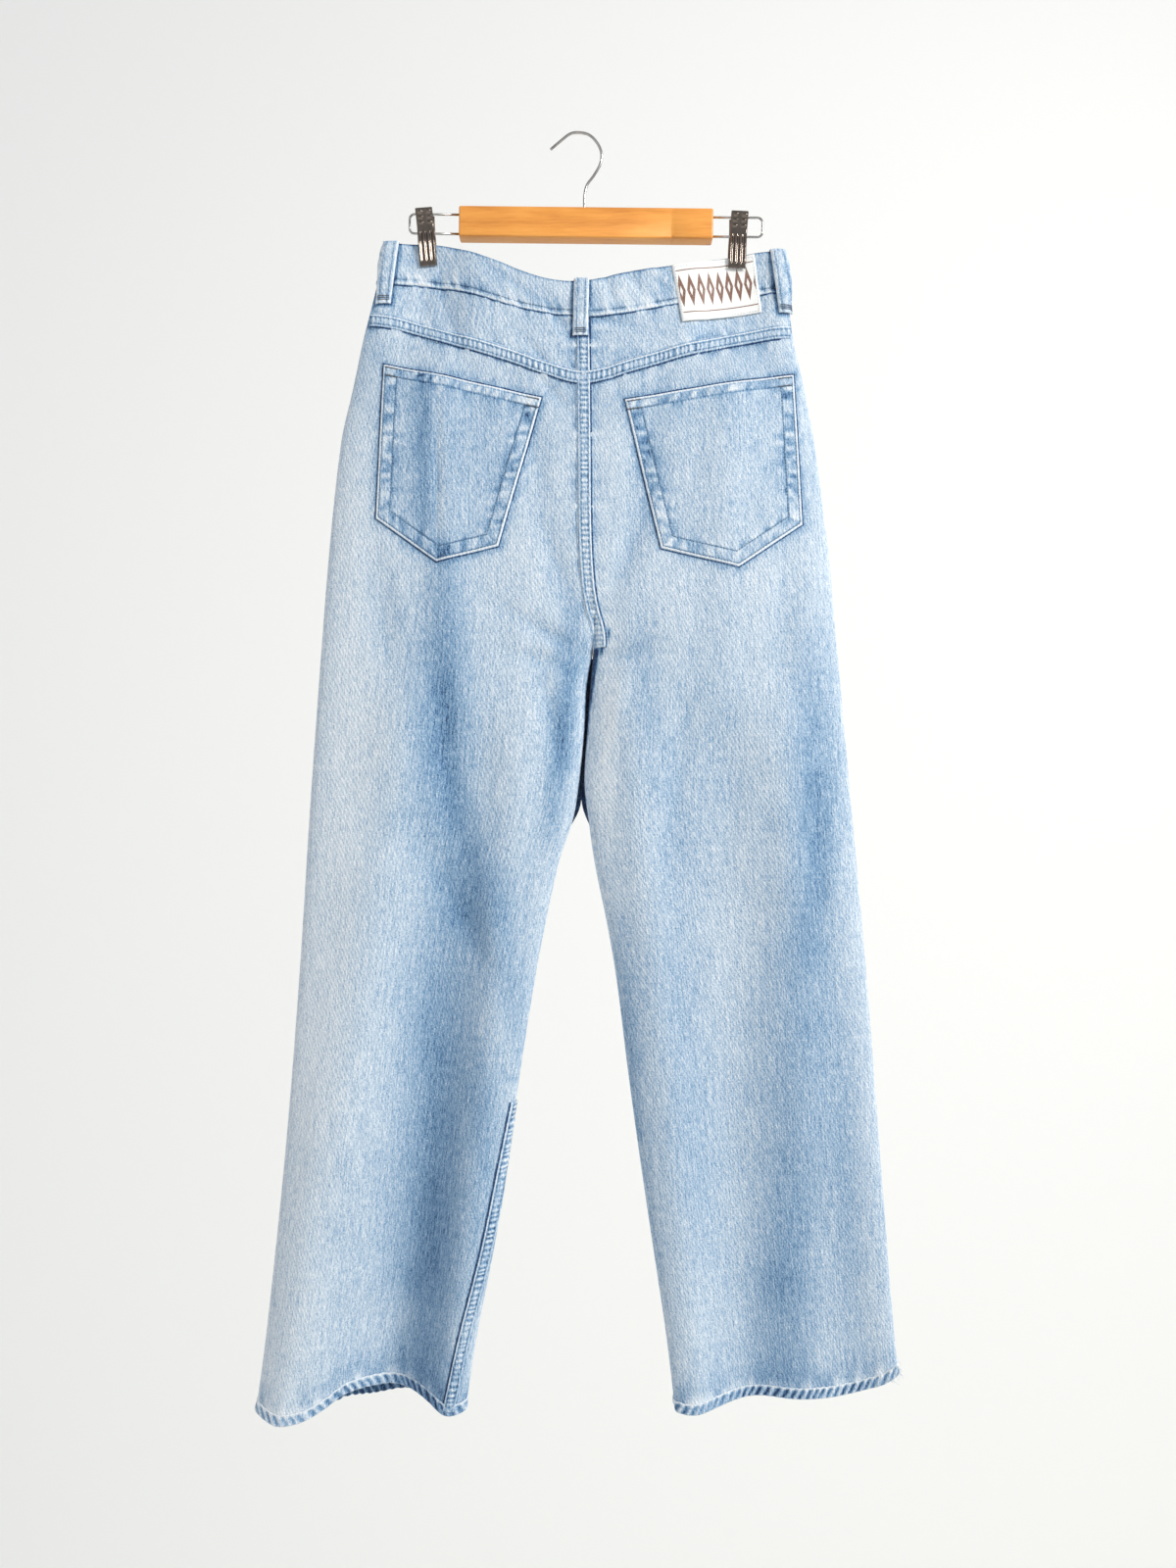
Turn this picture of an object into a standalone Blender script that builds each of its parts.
"""Wide-leg jeans hung by the waistband on a wooden clip hanger.

The back of the jeans faces -Y and the front +Y, +Z is up and +X is the wearer's right. The origin
is the inside of the hook's crown, where a rail or screw carries it. Sizes are in millimetres here
and become metres in the meshes. A drop is a distance below the origin.

The cloth is one surface, worked out from a few short tables: the side seams, the rise and the
inseams give its outline, a depth gives how far back and front stand apart, and folds push the two
faces in and out. Every sewn piece is a patch of that surface with a wall of its own.
"""

import math
from collections import namedtuple

import bmesh
import bpy
from mathutils import Matrix, Vector

MM = 0.001

# Cloth walls and the clearances between pieces
DENIM = 1.5
SEAM_GAP = 0.3
HEM_GAP = 0.8
LAID_GAP = 0.6
CURVED_GAP = 0.9
FELL_WALL = 1.0
FACING_WALL = 1.2
FACING_DEPTH = 2.2
BAND_WALL = 2.5
BAND_PROUD = 0.8
HEM_WALL = 3.0
HEM_PROUD = 0.6
PATCH_WALL = 1.2
POCKET_HEM_WALL = 2.0

# Widths of narrow pieces
HEM_HEIGHT = 11.0
FELL_WIDTH = 10.0
LOOP_WIDTH = 13.0
POCKET_HEM = 10.5

# The cross-section: a lens with blunt ends, which the side seams and inseams run along
ROUNDNESS = 0.75
BLUNT = 1.9
FIRST_STEP = 0.008
NORMAL_STEP = 0.004
END_CROWDING = 0.65

# Where the rise starts to curve in, where it ends at the crotch, and where the rows run level
RISE_BENDS = 390.0
CROTCH = 518.0
LEVEL_ROW = 560.0

BACK = -1
FRONT = 1
SIDES = {"left": -1, "right": 1}

Seam = namedtuple("Seam", "drop left right")
SIDE_SEAMS = (
    Seam(105, -188, 205),
    Seam(160, -200, 210),
    Seam(208, -212, 216),
    Seam(256, -222, 227),
    Seam(305, -233, 236),
    Seam(403, -244, 249),
    Seam(500, -252, 258),
    Seam(666, -264, 273),
    Seam(841, -275, 289),
    Seam(1017, -289, 303),
    Seam(1192, -307, 317),
    Seam(1275, -318, 326),
)
INSEAMS = (
    Seam(518, 16.5, 16.5),
    Seam(548, 11.0, 14.0),
    Seam(592, 8.5, 11.0),
    Seam(645, 3, 8),
    Seam(681, -3, 12),
    Seam(724, -17, 18),
    Seam(783, -30, 30),
    Seam(841, -41, 40),
    Seam(929, -55, 51),
    Seam(1017, -68, 63),
    Seam(1105, -81, 76),
    Seam(1192, -98, 89),
    Seam(1275, -111, 99),
)

Rise = namedtuple("Rise", "drop x")
RISE = (
    Rise(105, 5),
    Rise(208, 7),
    Rise(305, 8),
    Rise(403, 9),
    Rise(452, 12),
    Rise(490, 18),
    Rise(518, 16.5),
)

Fullness = namedtuple("Fullness", "drop depth")
FULLNESS = (
    Fullness(105, 9),
    Fullness(160, 12),
    Fullness(208, 16),
    Fullness(305, 21),
    Fullness(403, 24),
    Fullness(600, 25),
    Fullness(1275, 24),
)

# Lines across the back, as the drop at each x
Line = namedtuple("Line", "x drop")
WAIST_TOP = (
    Line(-190, 111),
    Line(-137, 112),
    Line(-106, 120),
    Line(-76, 131),
    Line(-33, 147),
    Line(5, 151),
    Line(52, 141),
    Line(96, 135),
    Line(177, 120),
    Line(206, 119),
)
WAIST_SEAM = (
    Line(-200, 150),
    Line(-155, 151),
    Line(-120, 156),
    Line(-51, 177),
    Line(5, 185),
    Line(45, 182),
    Line(101, 172),
    Line(183, 160),
    Line(212, 159),
)
YOKE_SEAM = (
    Line(-210, 187),
    Line(-173, 193),
    Line(-133, 205),
    Line(-62, 227.5),
    Line(-33, 238),
    Line(8, 248),
    Line(61, 234.5),
    Line(114, 219),
    Line(183, 203.5),
    Line(216, 199.5),
)
FRONT_DIP = 24.0

# The front pockets' scoop: where it leaves the waistband, and how far down the side it ends
SCOOP_START = 0.48
SCOOP_DEPTH = 78.0
FACING_LAP = 9.0
FACING_REACH = 0.965

# The hem's drop from the inseam (across 0) to the side seam (across 1). The front hangs a little lower.
Hem = namedtuple("Hem", "across drop")
HEMS = {
    "left": (
        Hem(0, 1265),
        Hem(0.09, 1266),
        Hem(0.18, 1259),
        Hem(0.3, 1254),
        Hem(0.45, 1252),
        Hem(0.59, 1251),
        Hem(0.67, 1260),
        Hem(0.75, 1267),
        Hem(0.88, 1270),
        Hem(1, 1264),
    ),
    "right": (
        Hem(0, 1267),
        Hem(0.1, 1267),
        Hem(0.35, 1258),
        Hem(0.55, 1257),
        Hem(0.75, 1254),
        Hem(0.9, 1244),
        Hem(1, 1232),
    ),
}
FRONT_HEM_SAG = {"left": 22.0, "right": 9.0}

# Folds run straight from a top to a low point. Back and front say how far each face moves along +Y
# at full strength, and top_share and low_share how strong the fold is at its two ends.
Fold = namedtuple("Fold", "side top_drop top_x low_drop low_x width back front top_share low_share")
FOLDS = (
    Fold("left", 640, -105, 1275, -190, 47, 46, 22, 0.12, 1.0),
    Fold("left", 640, -62, 1275, -128, 24, -9, -4, 0.5, 1.0),
    Fold("left", 760, -205, 1275, -291, 36, -11, -2, 0.3, 1.0),
    Fold("left", 250, -133, 560, -120, 19, -3.5, 0, 1.0, 0.5),
    Fold("left", 600, -170, 1000, -225, 30, -5, 3, 1.0, 0.6),
    Fold("right", 590, 52, 1275, 118, 24, -7, -3, 0.8, 0.6),
    Fold("right", 640, 140, 1275, 178, 50, 30, 17, 0.2, 1.0),
    Fold("right", 820, 240, 1275, 272, 50, 22, 13, 0.2, 1.0),
    Fold("right", 280, 150, 560, 140, 21, -2.5, 0, 1.0, 0.6),
    Fold("right", 620, 205, 980, 225, 32, -5, 2, 1.0, 0.6),
)
FOLD_FADE = 90.0

# The clips press back and front together
CLIP_X = {"left": -148.0, "right": 160.0}
PINCHED = 2.4
PINCH_WIDTH = 36.0
PINCH_ENDS = (140.0, 270.0)

Corner = namedtuple("Corner", "x drop")
Pocket = namedtuple("Pocket", "centre_top side_top side_low tip centre_low")
POCKETS = {
    "left": Pocket(
        centre_top=Corner(-34, 268.5),
        side_top=Corner(-189, 234),
        side_low=Corner(-195.5, 386.5),
        tip=Corner(-136, 429.5),
        centre_low=Corner(-76, 414.5),
    ),
    "right": Pocket(
        centre_top=Corner(48, 270.5),
        side_top=Corner(214, 243.5),
        side_low=Corner(221.5, 392),
        tip=Corner(158.5, 434.5),
        centre_low=Corner(83, 416.5),
    ),
}

# Belt loops on each face, from above the waistband to below its seam. They stand off most in the
# middle, and come in again over the tail, where they are tacked down.
Loop = namedtuple("Loop", "name face top_x low_x")
LOOPS = (
    Loop("belt_loop_back_centre", BACK, 5.5, 4.0),
    Loop("belt_loop_back_left", BACK, -183.0, -191.0),
    Loop("belt_loop_back_right", BACK, 199.5, 208.0),
    Loop("belt_loop_front_left", FRONT, -112.0, -116.0),
    Loop("belt_loop_front_right", FRONT, 124.0, 128.0),
)
LOOP_RISE = 1.5
LOOP_TAIL = 21.0
LOOP_STANDOFF = 2.4
LOOP_WALL = 1.8
LOOP_TACKED = 0.8
LOOP_SINKS = 0.6

Patch = namedtuple("Patch", "top_near top_far low_far low_near")
WAIST_PATCH = Patch(Corner(94, 136), Corner(177, 121.5), Corner(184, 180), Corner(104, 193))

FLY_WALL = 1.0
FLY_WIDTH = 38.0
FLY_LAP = 4.0
FLY_END = 345.0
FLY_ROUND = 45.0
FLY_TIP_SHARE = 0.02

# Felled bands: the stretches of the rise and the inseams that they cover, as drops. The left
# inseam's drifts from the inner edge on to the back of the leg, and the right one's lies in front.
Stretch = namedtuple("Stretch", "top low")
YOKE_CENTRE_BAND = Stretch(213, 241)
BACK_RISE_BAND = Stretch(255, 478)
FRONT_RISE_BAND = Stretch(346, 470)
LEFT_INSEAM_BAND = Stretch(1050, 1252)
RIGHT_INSEAM_BAND = Stretch(700, 1250)
YOKE_BAND_ENDS = (0.002, 0.985)
INSEAM_SHOWS = 935.0
INSEAM_DRIFT = 19.0
LEFT_INSEAM_INSET = 2.0
RIGHT_INSEAM_INSET = 13.0

# Hanger
BAR_CENTRE = Vector((9.75, 0, -91.0))
BAR_SIZE = Vector((251.5, 17.0, 30.0))
BAR_EDGE = 1.6
HANGER_TILT = math.radians(0.6)
WIRE = 2.3
LOOP_REACH = 175.5
LOOP_HALF = 9.6
LOOP_CORNER = 5.0
HOOK_WIRE = 2.8
Clip = namedtuple("Clip", "side along lean bite_back bite_front")
CLIPS = (
    Clip("left", -159.5, math.radians(-5.0), 5.2, 5.2),
    Clip("right", 151.5, math.radians(2.2), 7.4, 5.2),
)
CLIP_WIDTH = 17.0
CLIP_TOP = 15.0
CLIP_LOW = -43.0
CLIP_SHEET = 1.4
CLIP_GRIP = 9.0
CLIP_WAIST = (-20.0, 7.0)
CLIP_HANDLE = 10.5
COIL_RADIUS = 3.4
COIL_LENGTH = 12.0
COIL_RISE = 0.6

# The waist button's profile, turned round its axis, and its place beside and below the waist's top
Turn = namedtuple("Turn", "radius height")
BUTTON = (
    Turn(0, 4.2),
    Turn(6.6, 4.4),
    Turn(7.9, 4.0),
    Turn(8.5, 3.1),
    Turn(8.1, 2.2),
    Turn(2.6, 1.8),
    Turn(2.6, 0),
    Turn(0, 0),
)
BUTTON_ASIDE = 11.0
BUTTON_BELOW = 18.0


def smooth_value(rows, at, place, value):
    """The column value of a table at a given place, on a smooth curve through its rows."""
    if at <= getattr(rows[0], place):
        return float(getattr(rows[0], value))
    if at >= getattr(rows[-1], place):
        return float(getattr(rows[-1], value))
    places = [getattr(row, place) for row in rows]
    values = [getattr(row, value) for row in rows]
    i = max(k for k in range(len(rows) - 1) if places[k] <= at)
    span = places[i + 1] - places[i]

    def slope(k):
        low, high = max(k - 1, 0), min(k + 1, len(rows) - 1)
        return (values[high] - values[low]) / (places[high] - places[low])

    t = (at - places[i]) / span
    return (
        values[i] * (1 + 2 * t) * (1 - t) ** 2
        + values[i + 1] * t * t * (3 - 2 * t)
        + span * (slope(i) * t * (1 - t) ** 2 - slope(i + 1) * t * t * (1 - t))
    )


def ease(value):
    """Goes smoothly from 0 to 1 as the value does."""
    value = min(max(value, 0.0), 1.0)
    return value * value * (3 - 2 * value)


def mix(a, b, share):
    return a + (b - a) * share


def side_x(side, drop):
    return smooth_value(SIDE_SEAMS, drop, "drop", side)


def inner_x(side, drop):
    """The rise above the crotch, the inseam below it, half a seam's gap to this side."""
    if drop < CROTCH:
        x = smooth_value(RISE, drop, "drop", "x")
    else:
        x = smooth_value(INSEAMS, drop, "drop", side)
    return x + SIDES[side] * SEAM_GAP / 2


def closing(drop):
    """0 where a half is open along the rise, 1 where it is a closed leg."""
    share = min(max((drop - RISE_BENDS) / (CROTCH - RISE_BENDS), 0.0), 1.0)
    return 1 - (1 - share * share) ** 0.7


def pinch(side, x, drop):
    fade = 1 - ease((drop - PINCH_ENDS[0]) / (PINCH_ENDS[1] - PINCH_ENDS[0]))
    return fade * math.exp(-(abs(x - CLIP_X[side]) / PINCH_WIDTH) ** 3)


def half_depth(side, x, across, drop, lip):
    """How far a face stands from the middle of the cloth. The lip is 0 at a panel's own edge."""
    pressed = pinch(side, x, drop)
    depth = mix(smooth_value(FULLNESS, drop, "drop", "depth"), PINCHED, pressed)
    crown = (2 * math.sqrt(max(across * (1 - across), 0.0))) ** ROUNDNESS
    closed = closing(drop)
    if across < 0.5:
        crown = 1 - closed * (1 - crown)
    height = BLUNT + (depth - BLUNT) * crown
    if across > 0.5:
        return mix(SEAM_GAP / 2, height, lip)
    return mix(mix(height, SEAM_GAP / 2, closed), height, lip)


def fold_shift(side, face, x, drop):
    """How far the folds push this point of a face along +Y."""
    shift = 0.0
    for fold in FOLDS:
        if fold.side != side:
            continue
        share = (drop - fold.top_drop) / (fold.low_drop - fold.top_drop)
        strength = mix(fold.top_share, fold.low_share, min(max(share, 0.0), 1.0))
        strength *= ease(1 + (drop - fold.top_drop) / FOLD_FADE)
        strength *= ease(1 - (drop - fold.low_drop) / FOLD_FADE)
        away = (x - mix(fold.top_x, fold.low_x, share)) / fold.width
        push = fold.back if face == BACK else fold.front
        shift += push * strength * math.exp(-away * away)
    return shift


def end_hold(across, drop):
    """Lets the two faces of a half part from a shared shift only away from its seams."""
    inner = mix(1.0, ease(across / 0.16), closing(drop))
    return inner * ease((1 - across) / 0.16)


def cloth_point(side, face, across, drop, lip=1.0):
    """A point of the cloth's outer surface, in millimetres."""
    x = mix(inner_x(side, drop), side_x(side, drop), across)
    shared = (fold_shift(side, BACK, x, drop) + fold_shift(side, FRONT, x, drop)) / 2
    own = fold_shift(side, face, x, drop) - shared
    y = face * half_depth(side, x, across, drop, lip) + shared + own * end_hold(across, drop)
    return Vector((x, y, -drop))


def outward(side, face, across, drop, lip):
    """The surface's own normal. A lip faces sideways, or straight out where the rise is open."""
    towards_side = SIDES[side] if across > 0.5 else -SIDES[side]
    if lip == 0:
        rise_open = across < 0.5 and closing(drop) < 0.5
        return Vector((0, face, 0)) if rise_open else Vector((towards_side, 0, 0))
    low, high = max(across - NORMAL_STEP, 0.0), min(across + NORMAL_STEP, 1.0)
    along = cloth_point(side, face, high, drop) - cloth_point(side, face, low, drop)
    down = cloth_point(side, face, across, drop + 2) - cloth_point(side, face, across, drop - 2)
    normal = along.cross(down).normalized()
    return -normal if normal.dot(Vector((0.01 * towards_side, face, 0))) < 0 else normal


def moved_out(side, face, across, drop, out, lip=1.0):
    """The cloth's point moved out along the surface's own normal."""
    point = cloth_point(side, face, across, drop, lip)
    return point + outward(side, face, across, drop, lip) * out if out else point


def on_face(face, x, drop, out):
    """The same surface, reached by its x instead of by a half and a share across it."""
    side = "left" if x < smooth_value(RISE, drop, "drop", "x") else "right"
    if drop >= CROTCH:
        side = "left" if x < 0 else "right"
    inner, outer = inner_x(side, drop), side_x(side, drop)
    across = min(max((x - inner) / (outer - inner), 0.0), 1.0)
    return moved_out(side, face, across, drop, out)


def line_drop(rows, side, across):
    """The drop at which a line across the cloth meets this share of the width."""
    drop = rows[0].drop
    for _ in range(4):
        x = mix(inner_x(side, drop), side_x(side, drop), across)
        drop = smooth_value(rows, x, "x", "drop")
    return drop


def front_dip(side, across):
    """The front waist hangs lower than the back, most of all in the middle."""
    return FRONT_DIP * math.cos(math.pi / 2 * across) ** 2


def waist_drop(rows, side, face, across):
    return line_drop(rows, side, across) + (front_dip(side, across) if face == FRONT else 0)


def scoop_drop(side, across):
    """The front panel's top edge: the waistband's seam, then the pocket opening's curve."""
    seam = waist_drop(WAIST_SEAM, side, FRONT, across)
    if across <= SCOOP_START:
        return seam
    share = (across - SCOOP_START) / (1 - SCOOP_START)
    return seam + SCOOP_DEPTH * (1 - (1 - share) ** 2.2)


def hem_drop(side, face, across):
    drop = smooth_value(HEMS[side], across, "across", "drop")
    if face == FRONT:
        drop += FRONT_HEM_SAG[side] * math.sin(math.pi * across) ** 2
    return drop


def material(name, colour, roughness, metallic=0.0):
    made = bpy.data.materials.new(name)
    made.use_nodes = True
    shader = made.node_tree.nodes["Principled BSDF"]
    shader.inputs["Base Color"].default_value = (*colour, 1)
    shader.inputs["Roughness"].default_value = roughness
    shader.inputs["Metallic"].default_value = metallic
    return made


def add_object(name, mesh, finish, collection):
    obj = bpy.data.objects.new(name, mesh)
    mesh.materials.append(finish)
    collection.objects.link(obj)
    return obj


def sheet(name, point, across, down, wall, finish, collection):
    """A wall of cloth: a grid, put in place by point(across value, down value), with Solidify."""
    grid = bmesh.new()
    bmesh.ops.create_grid(grid, x_segments=len(across) - 1, y_segments=len(down) - 1, size=0.5)
    for vertex in grid.verts:
        column = round((vertex.co.x + 0.5) * (len(across) - 1))
        row = round((vertex.co.y + 0.5) * (len(down) - 1))
        vertex.co, outward = point(across[column], down[row])
        vertex.co *= MM
    grid.normal_update()
    if sum(face.normal.dot(outward) * face.calc_area() for face in grid.faces) < 0:
        bmesh.ops.reverse_faces(grid, faces=grid.faces)
    mesh = bpy.data.meshes.new(name)
    grid.to_mesh(mesh)
    grid.free()
    mesh.shade_smooth()
    obj = add_object(name, mesh, finish, collection)
    solid = obj.modifiers.new("wall", "SOLIDIFY")
    solid.thickness = wall * MM
    solid.offset = -1
    solid.use_even_offset = True
    solid.use_quality_normals = True
    return obj


def steps(count, low=0.0, high=1.0):
    return [mix(low, high, i / count) for i in range(count + 1)]


def full_width(columns):
    """Places across a half, close together at its two ends, with the blunt end's own points."""
    inside = [mix(share, (1 - math.cos(math.pi * share)) / 2, END_CROWDING) for share in steps(columns)]
    return [(0.0, 0.0)] + [(across, 1.0) for across in inside] + [(1.0, 0.0)]


def across_at(place, drop):
    """Where the rise is open, the first step in from the seam lies along the cloth."""
    across, lip = place
    if lip:
        across += FIRST_STEP * (1 - closing(drop)) * (1 - across)
    return across, lip


def half_piece(name, side, face, top, bottom, down, out, wall, finish, collection, columns=18):
    """A piece that runs from the centre or inseam of one half to its side seam."""

    def point(place, level):
        across, lip = place
        drop = mix(top(across), bottom(across), level)
        across, lip = across_at(place, drop)
        return moved_out(side, face, across, drop, out, lip), Vector((0, face, 0))

    return sheet(name, point, full_width(columns), down, wall, finish, collection)


def leg_panel(name, side, face, top, finish, collection):
    """A leg from its top edge to the hem's fold. Back and front share the rows below LEVEL_ROW."""
    start = top(0.0)
    to_crotch = (CROTCH - start) / (LEVEL_ROW - start)
    upper = [to_crotch * share for share in (0, 0.13, 0.26, 0.39, 0.52, 0.65, 0.76, 0.86, 0.94, 0.98, 1)]
    upper.append(mix(to_crotch, 1, 0.35))
    lower = steps(10)

    def point(place, level):
        across, lip = place
        hem = hem_drop(side, face, across) - HEM_HEIGHT - HEM_GAP
        if level <= 1:
            drop = mix(top(across), LEVEL_ROW, level)
        else:
            drop = mix(LEVEL_ROW, hem, level - 1)
        across, lip = across_at(place, drop)
        return cloth_point(side, face, across, drop, lip), Vector((0, face, 0))

    down = upper + [1 + level for level in lower]
    return sheet(name, point, full_width(18), down, DENIM, finish, collection)


def felled_band(name, face, centre, stretch, rows, width, finish, collection):
    """A folded ridge sewn on a face, along the x that centre(drop) gives."""

    def point(share, drop):
        x = centre(drop) + width * (share - 0.5)
        return on_face(face, x, drop, LAID_GAP + FELL_WALL), Vector((0, face, 0))

    return sheet(name, point, steps(3), steps(rows, *stretch), FELL_WALL, finish, collection)


def build_legs(denim, collection):
    for side in SIDES:
        leg_panel(
            f"back_panel_{side}",
            side,
            BACK,
            lambda across, side=side: line_drop(YOKE_SEAM, side, across) + SEAM_GAP / 2,
            denim,
            collection,
        )
        leg_panel(
            f"front_panel_{side}",
            side,
            FRONT,
            lambda across, side=side: scoop_drop(side, across) + SEAM_GAP / 2,
            denim,
            collection,
        )
        for face, word in ((BACK, "back"), (FRONT, "front")):
            half_piece(
                f"hem_{word}_{side}",
                side,
                face,
                lambda across, side=side, face=face: hem_drop(side, face, across) - HEM_HEIGHT,
                lambda across, side=side, face=face: hem_drop(side, face, across),
                steps(1),
                HEM_PROUD,
                HEM_WALL,
                denim,
                collection,
            )


def build_yokes(denim, collection):
    for side in SIDES:
        half_piece(
            f"yoke_{side}",
            side,
            BACK,
            lambda across, side=side: line_drop(WAIST_SEAM, side, across) + SEAM_GAP / 2,
            lambda across, side=side: line_drop(YOKE_SEAM, side, across) - SEAM_GAP / 2,
            steps(3),
            0.0,
            DENIM,
            denim,
            collection,
        )


def build_pocket_facings(denim, collection):
    """The denim seen inside each scoop. It lies behind the front panel and laps below the opening."""
    for side in SIDES:

        def point(across, level, side=side):
            top = waist_drop(WAIST_SEAM, side, FRONT, across) + SEAM_GAP
            drop = mix(top, scoop_drop(side, across) + FACING_LAP, level)
            return moved_out(side, FRONT, across, drop, -FACING_DEPTH), Vector((0, 1, 0))

        sheet(
            f"front_pocket_facing_{side}",
            point,
            steps(9, SCOOP_START - 0.02, FACING_REACH),
            steps(4),
            FACING_WALL,
            denim,
            collection,
        )


def build_waistband(denim, collection):
    """One piece across the back, and two that meet at the centre front."""
    left = [(across, lip, "left") for across, lip in full_width(18)]
    right = [(across, lip, "right") for across, lip in full_width(18)]
    columns = list(reversed(left[1:])) + right[1:]

    def band_point(side, face, place, level):
        across, lip = place
        top = waist_drop(WAIST_TOP, side, face, across)
        bottom = waist_drop(WAIST_SEAM, side, face, across) - SEAM_GAP / 2
        drop = mix(top, bottom, level)
        across, lip = across_at(place, drop)
        return moved_out(side, face, across, drop, BAND_PROUD, lip), Vector((0, face, 0))

    def back_point(place, level):
        return band_point(place[2], BACK, place[:2], level)

    sheet("waistband_back", back_point, columns, steps(2), BAND_WALL, denim, collection)
    for side in SIDES:

        def front_point(place, level, side=side):
            return band_point(side, FRONT, place, level)

        name = f"waistband_front_{side}"
        sheet(name, front_point, full_width(14), steps(2), BAND_WALL, denim, collection)


def pocket_place(pocket, share, level):
    """The x and drop inside a patch. Share runs outwards from its centre edge, level down."""
    if share <= 0.5:
        low = mix(Vector(pocket.centre_low), Vector(pocket.tip), share * 2)
    else:
        low = mix(Vector(pocket.tip), Vector(pocket.side_low), share * 2 - 1)
    return mix(mix(Vector(pocket.centre_top), Vector(pocket.side_top), share), low, level)


def build_back_pockets(denim, collection):
    """Five-cornered patches with a turned hem, one ply thicker, along the top."""
    for side, pocket in POCKETS.items():
        height = pocket.tip.drop - (pocket.centre_top.drop + pocket.side_top.drop) / 2
        hem = POCKET_HEM / height
        rows = (
            ("back_pocket_hem", steps(1, 0.0, hem), POCKET_HEM_WALL),
            ("back_pocket", steps(8, hem + SEAM_GAP / height, 1.0), PATCH_WALL),
        )
        for name, down, wall in rows:

            def point(share, level, pocket=pocket, wall=wall):
                x, drop = pocket_place(pocket, share, level)
                return on_face(BACK, x, drop, LAID_GAP + wall), Vector((0, -1, 0))

            sheet(f"{name}_{side}", point, steps(12), down, wall, denim, collection)


def build_belt_loops(denim, collection):
    """Strips that are sewn down at both ends and stand off the waistband between them."""
    for loop in LOOPS:
        side = "left" if loop.top_x < 0 else "right"
        dip = 0.0
        if loop.face == FRONT:
            inner, outer = inner_x(side, 150), side_x(side, 150)
            dip = front_dip(side, (loop.top_x - inner) / (outer - inner))
        top = smooth_value(WAIST_TOP, loop.top_x, "x", "drop") + dip - LOOP_RISE
        low = smooth_value(WAIST_SEAM, loop.low_x, "x", "drop") + dip + LOOP_TAIL

        def point(share, level, loop=loop, top=top, low=low):
            drop = mix(top, low, level)
            x = mix(loop.top_x, loop.low_x, level) + LOOP_WIDTH * (share - 0.5)
            free = min(level / LOOP_TACKED, 1)
            tail = max(level - LOOP_TACKED, 0) / (1 - LOOP_TACKED)
            stand = BAND_PROUD + LAID_GAP + LOOP_STANDOFF * math.sin(math.pi * free) ** 0.6
            out = stand - LOOP_SINKS * tail + LOOP_WALL
            return on_face(loop.face, x, drop, out), Vector((0, loop.face, 0))

        sheet(loop.name, point, steps(2), steps(10), LOOP_WALL, denim, collection)


def build_seam_bands(denim, collection):
    """The folded ridges of the felled seams."""
    narrow = FELL_WIDTH - 2

    def rise(drop):
        return smooth_value(RISE, drop, "drop", "x")

    def left_inseam(drop):
        drift = INSEAM_DRIFT * (drop - INSEAM_SHOWS) / (HEMS["left"][0].drop - INSEAM_SHOWS)
        return inner_x("left", drop) - LEFT_INSEAM_INSET - drift + narrow / 2

    def right_inseam(drop):
        return inner_x("right", drop) + RIGHT_INSEAM_INSET

    bands = (
        ("centre_back_seam_yoke", BACK, rise, YOKE_CENTRE_BAND, 2, FELL_WIDTH),
        ("centre_back_seam", BACK, rise, BACK_RISE_BAND, 16, FELL_WIDTH),
        ("centre_front_seam", FRONT, rise, FRONT_RISE_BAND, 10, narrow),
        ("inseam_left", BACK, left_inseam, LEFT_INSEAM_BAND, 10, narrow),
        ("inseam_right", FRONT, right_inseam, RIGHT_INSEAM_BAND, 14, narrow),
    )
    for name, face, centre, stretch, rows, width in bands:
        felled_band(name, face, centre, stretch, rows, width, denim, collection)

    for side in SIDES:

        def point(across, share, side=side):
            drop = line_drop(YOKE_SEAM, side, across) + FELL_WIDTH * (share - 0.5)
            return moved_out(side, BACK, across, drop, CURVED_GAP + FELL_WALL), Vector((0, BACK, 0))

        across = steps(18, *YOKE_BAND_ENDS)
        sheet(f"yoke_seam_{side}", point, across, steps(2), FELL_WALL, denim, collection)


def build_fly(denim, collection):
    """The flap over the zip, on the wearer's left, with its rounded lower corner."""
    top = smooth_value(WAIST_SEAM, RISE[0].x, "x", "drop") + FRONT_DIP + 1

    def point(share, drop):
        centre = smooth_value(RISE, drop, "drop", "x")
        turn = max(0.0, (drop - (FLY_END - FLY_ROUND)) / FLY_ROUND)
        width = FLY_WIDTH * math.sqrt(max(1 - turn * turn, FLY_TIP_SHARE))
        x = mix(centre - width, centre + FLY_LAP, share)
        return on_face(FRONT, x, drop, LAID_GAP + FLY_WALL), Vector((0, FRONT, 0))

    drops = steps(6, top, FLY_END - FLY_ROUND) + steps(6, FLY_END - FLY_ROUND, FLY_END)[1:]
    sheet("fly_flap", point, steps(5), drops, FLY_WALL, denim, collection)


def build_patch(leather, collection):
    """The plain patch over the waistband at the back right."""

    def point(share, level):
        top = mix(Vector(WAIST_PATCH.top_near), Vector(WAIST_PATCH.top_far), share)
        low = mix(Vector(WAIST_PATCH.low_near), Vector(WAIST_PATCH.low_far), share)
        x, drop = mix(top, low, level)
        return on_face(BACK, x, drop, BAND_PROUD + CURVED_GAP + PATCH_WALL), Vector((0, -1, 0))

    sheet("waist_patch", point, steps(8), steps(6), PATCH_WALL, leather, collection)


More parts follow.
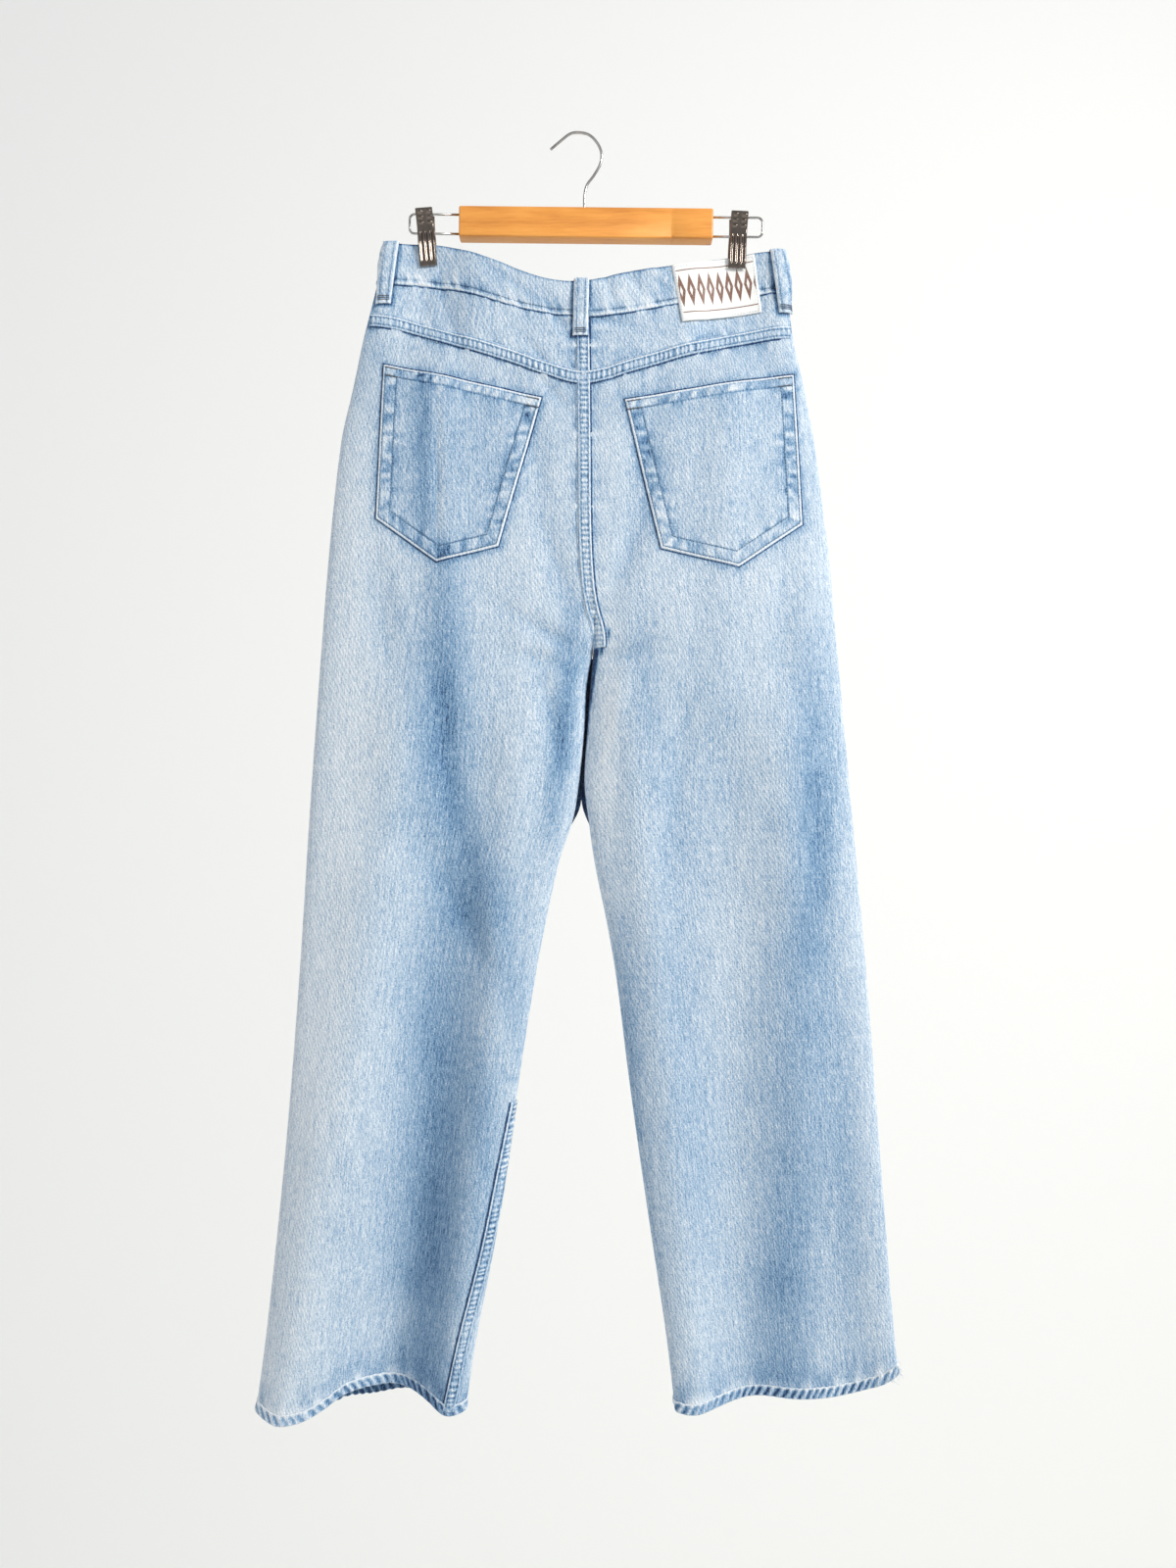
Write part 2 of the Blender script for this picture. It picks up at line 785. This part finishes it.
def build_button(brass, collection):
    """A shank button, turned round its own axis."""
    mesh = bpy.data.meshes.new("waist_button")
    outline = bmesh.new()
    points = [outline.verts.new((turn.radius * MM, 0, turn.height * MM)) for turn in BUTTON]
    for first, second in zip(points, points[1:]):
        outline.edges.new((first, second))
    outline.to_mesh(mesh)
    outline.free()
    button = add_object("waist_button", mesh, brass, collection)
    turn = button.modifiers.new("turn", "SCREW")
    turn.axis = "Z"
    turn.steps = 24
    turn.render_steps = 24
    turn.use_merge_vertices = True
    turn.merge_threshold = 0.00001
    drop = smooth_value(WAIST_TOP, RISE[0].x, "x", "drop") + FRONT_DIP + BUTTON_BELOW
    x = smooth_value(RISE, drop, "drop", "x") - BUTTON_ASIDE
    seat = on_face(FRONT, x, drop, BAND_PROUD + SEAM_GAP)
    button.location = seat * MM
    button.rotation_euler = (-math.pi / 2, 0, 0)


def wire(name, points, diameter, finish, collection, parent=None):
    """Round wire along a list of points in millimetres."""
    curve = bpy.data.curves.new(name, "CURVE")
    curve.dimensions = "3D"
    curve.bevel_depth = diameter / 2 * MM
    curve.bevel_resolution = 2
    curve.use_fill_caps = True
    spline = curve.splines.new("POLY")
    spline.points.add(len(points) - 1)
    for target, point in zip(spline.points, points):
        target.co = (*(point * MM), 1)
    obj = add_object(name, curve, finish, collection)
    obj.parent = parent
    return obj


def spline_points(knots, per_span):
    """A smooth curve through the knots (Catmull-Rom)."""
    padded = [knots[0] * 2 - knots[1], *knots, knots[-1] * 2 - knots[-2]]
    found = []
    for a, b, c, d in zip(padded, padded[1:], padded[2:], padded[3:]):
        for i in range(per_span):
            t = i / per_span
            bend = (2 * a - 5 * b + 4 * c - d) * t**2 + (3 * b - a - 3 * c + d) * t**3
            found.append(0.5 * (2 * b + (c - a) * t + bend))
    return [*found, knots[-1]]


def build_hook(steel, collection):
    Knot = namedtuple("Knot", "x z")
    knots = (
        Knot(-25.4, -15.2),
        Knot(-15.8, -7.0),
        Knot(-6.3, 0.2),
        Knot(2.5, 1.6),
        Knot(12.5, -0.6),
        Knot(20.5, -8.2),
        Knot(25.0, -18.5),
        Knot(23.9, -29.5),
        Knot(17.6, -41.0),
        Knot(10.8, -50.5),
        Knot(8.3, -61.0),
        Knot(8.2, BAR_CENTRE.z + BAR_SIZE.z / 2 + SEAM_GAP + 0.05),
    )
    points = spline_points([Vector((knot.x, 0, knot.z)) for knot in knots], 4)
    wire("hanger_hook", points, HOOK_WIRE, steel, collection)


def build_hanger(wood, steel, collection):
    frame = bpy.data.objects.new("hanger_frame", None)
    frame.location = BAR_CENTRE * MM
    frame.rotation_euler = (0, HANGER_TILT, 0)
    collection.objects.link(frame)

    mesh = bpy.data.meshes.new("hanger_bar")
    block = bmesh.new()
    bmesh.ops.create_cube(block, size=1, matrix=Matrix.Diagonal((*(BAR_SIZE * MM), 1)))
    block.to_mesh(mesh)
    block.free()
    bar = add_object("hanger_bar", mesh, wood, collection)
    bar.parent = frame
    edges = bar.modifiers.new("rounded edges", "BEVEL")
    edges.width = BAR_EDGE * MM
    edges.segments = 2

    for side, sign in SIDES.items():
        near = sign * (BAR_SIZE.x / 2 + SEAM_GAP)
        far = sign * (LOOP_REACH - LOOP_CORNER)
        points = [Vector((near, 0, LOOP_HALF))]
        for start, centre_z in ((90, LOOP_HALF - LOOP_CORNER), (0, LOOP_CORNER - LOOP_HALF)):
            for i in range(5):
                angle = math.radians(start - 22.5 * i)
                reach = LOOP_CORNER * Vector((sign * math.cos(angle), 0, math.sin(angle)))
                points.append(Vector((far, 0, centre_z)) + reach)
        points.append(Vector((near, 0, -LOOP_HALF)))
        wire(f"wire_loop_{side}", points, WIRE, steel, collection, frame)

    for clip in CLIPS:
        build_clip(clip, frame, steel, collection)


def build_clip(clip, frame, steel, collection):
    """Two jaws of bent sheet on a coil that sits on the lower wire."""
    holder = bpy.data.objects.new(f"clip_{clip.side}", None)
    holder.location = Vector((clip.along, 0, 0)) * MM
    holder.rotation_euler = (0, clip.lean, 0)
    holder.parent = frame
    collection.objects.link(holder)
    coil_z = -LOOP_HALF + WIRE / 2 + SEAM_GAP + COIL_RADIUS + COIL_RISE
    Bend = namedtuple("Bend", "z away")
    for face, word, bite in ((BACK, "back", clip.bite_back), (FRONT, "front", clip.bite_front)):
        bends = (
            Bend(CLIP_LOW, bite),
            Bend(CLIP_LOW + CLIP_GRIP, bite + SEAM_GAP),
            Bend(*CLIP_WAIST),
            Bend(coil_z, COIL_RADIUS + SEAM_GAP + CLIP_SHEET),
            Bend(CLIP_TOP, CLIP_HANDLE),
        )

        def point(share, level, face=face, bends=bends):
            z = mix(CLIP_TOP, CLIP_LOW, level)
            away = smooth_value(bends, z, "z", "away")
            return Vector((CLIP_WIDTH * (share - 0.5), face * away, z)), Vector((0, face, 0))

        name = f"clip_jaw_{word}_{clip.side}"
        jaw = sheet(name, point, steps(2), steps(14), CLIP_SHEET, steel, collection)
        jaw.parent = holder
    coil_mesh = bpy.data.meshes.new(f"clip_coil_{clip.side}")
    shape = bmesh.new()
    bmesh.ops.create_cone(
        shape,
        cap_ends=True,
        segments=16,
        radius1=COIL_RADIUS * MM,
        radius2=COIL_RADIUS * MM,
        depth=COIL_LENGTH * MM,
        matrix=Matrix.Translation((0, 0, coil_z * MM)) @ Matrix.Rotation(math.pi / 2, 4, "Y"),
    )
    shape.to_mesh(coil_mesh)
    shape.free()
    coil = add_object(f"clip_coil_{clip.side}", coil_mesh, steel, collection)
    coil.parent = holder


def main():
    for obj in list(bpy.data.objects):
        bpy.data.objects.remove(obj)
    collection = bpy.data.collections.new("hung_jeans")
    bpy.context.scene.collection.children.link(collection)

    denim = material("light_denim", (0.42, 0.57, 0.74), 0.9)
    patch = material("white_patch", (0.85, 0.85, 0.83), 0.6)
    wood = material("honey_wood", (0.62, 0.31, 0.08), 0.4)
    steel = material("bright_steel", (0.62, 0.61, 0.6), 0.25, 1.0)
    button = material("button_metal", (0.45, 0.36, 0.25), 0.4, 1.0)

    build_legs(denim, collection)
    build_yokes(denim, collection)
    build_pocket_facings(denim, collection)
    build_waistband(denim, collection)
    build_back_pockets(denim, collection)
    build_belt_loops(denim, collection)
    build_seam_bands(denim, collection)
    build_fly(denim, collection)
    build_patch(patch, collection)
    build_button(button, collection)
    build_hook(steel, collection)
    build_hanger(wood, steel, collection)


main()
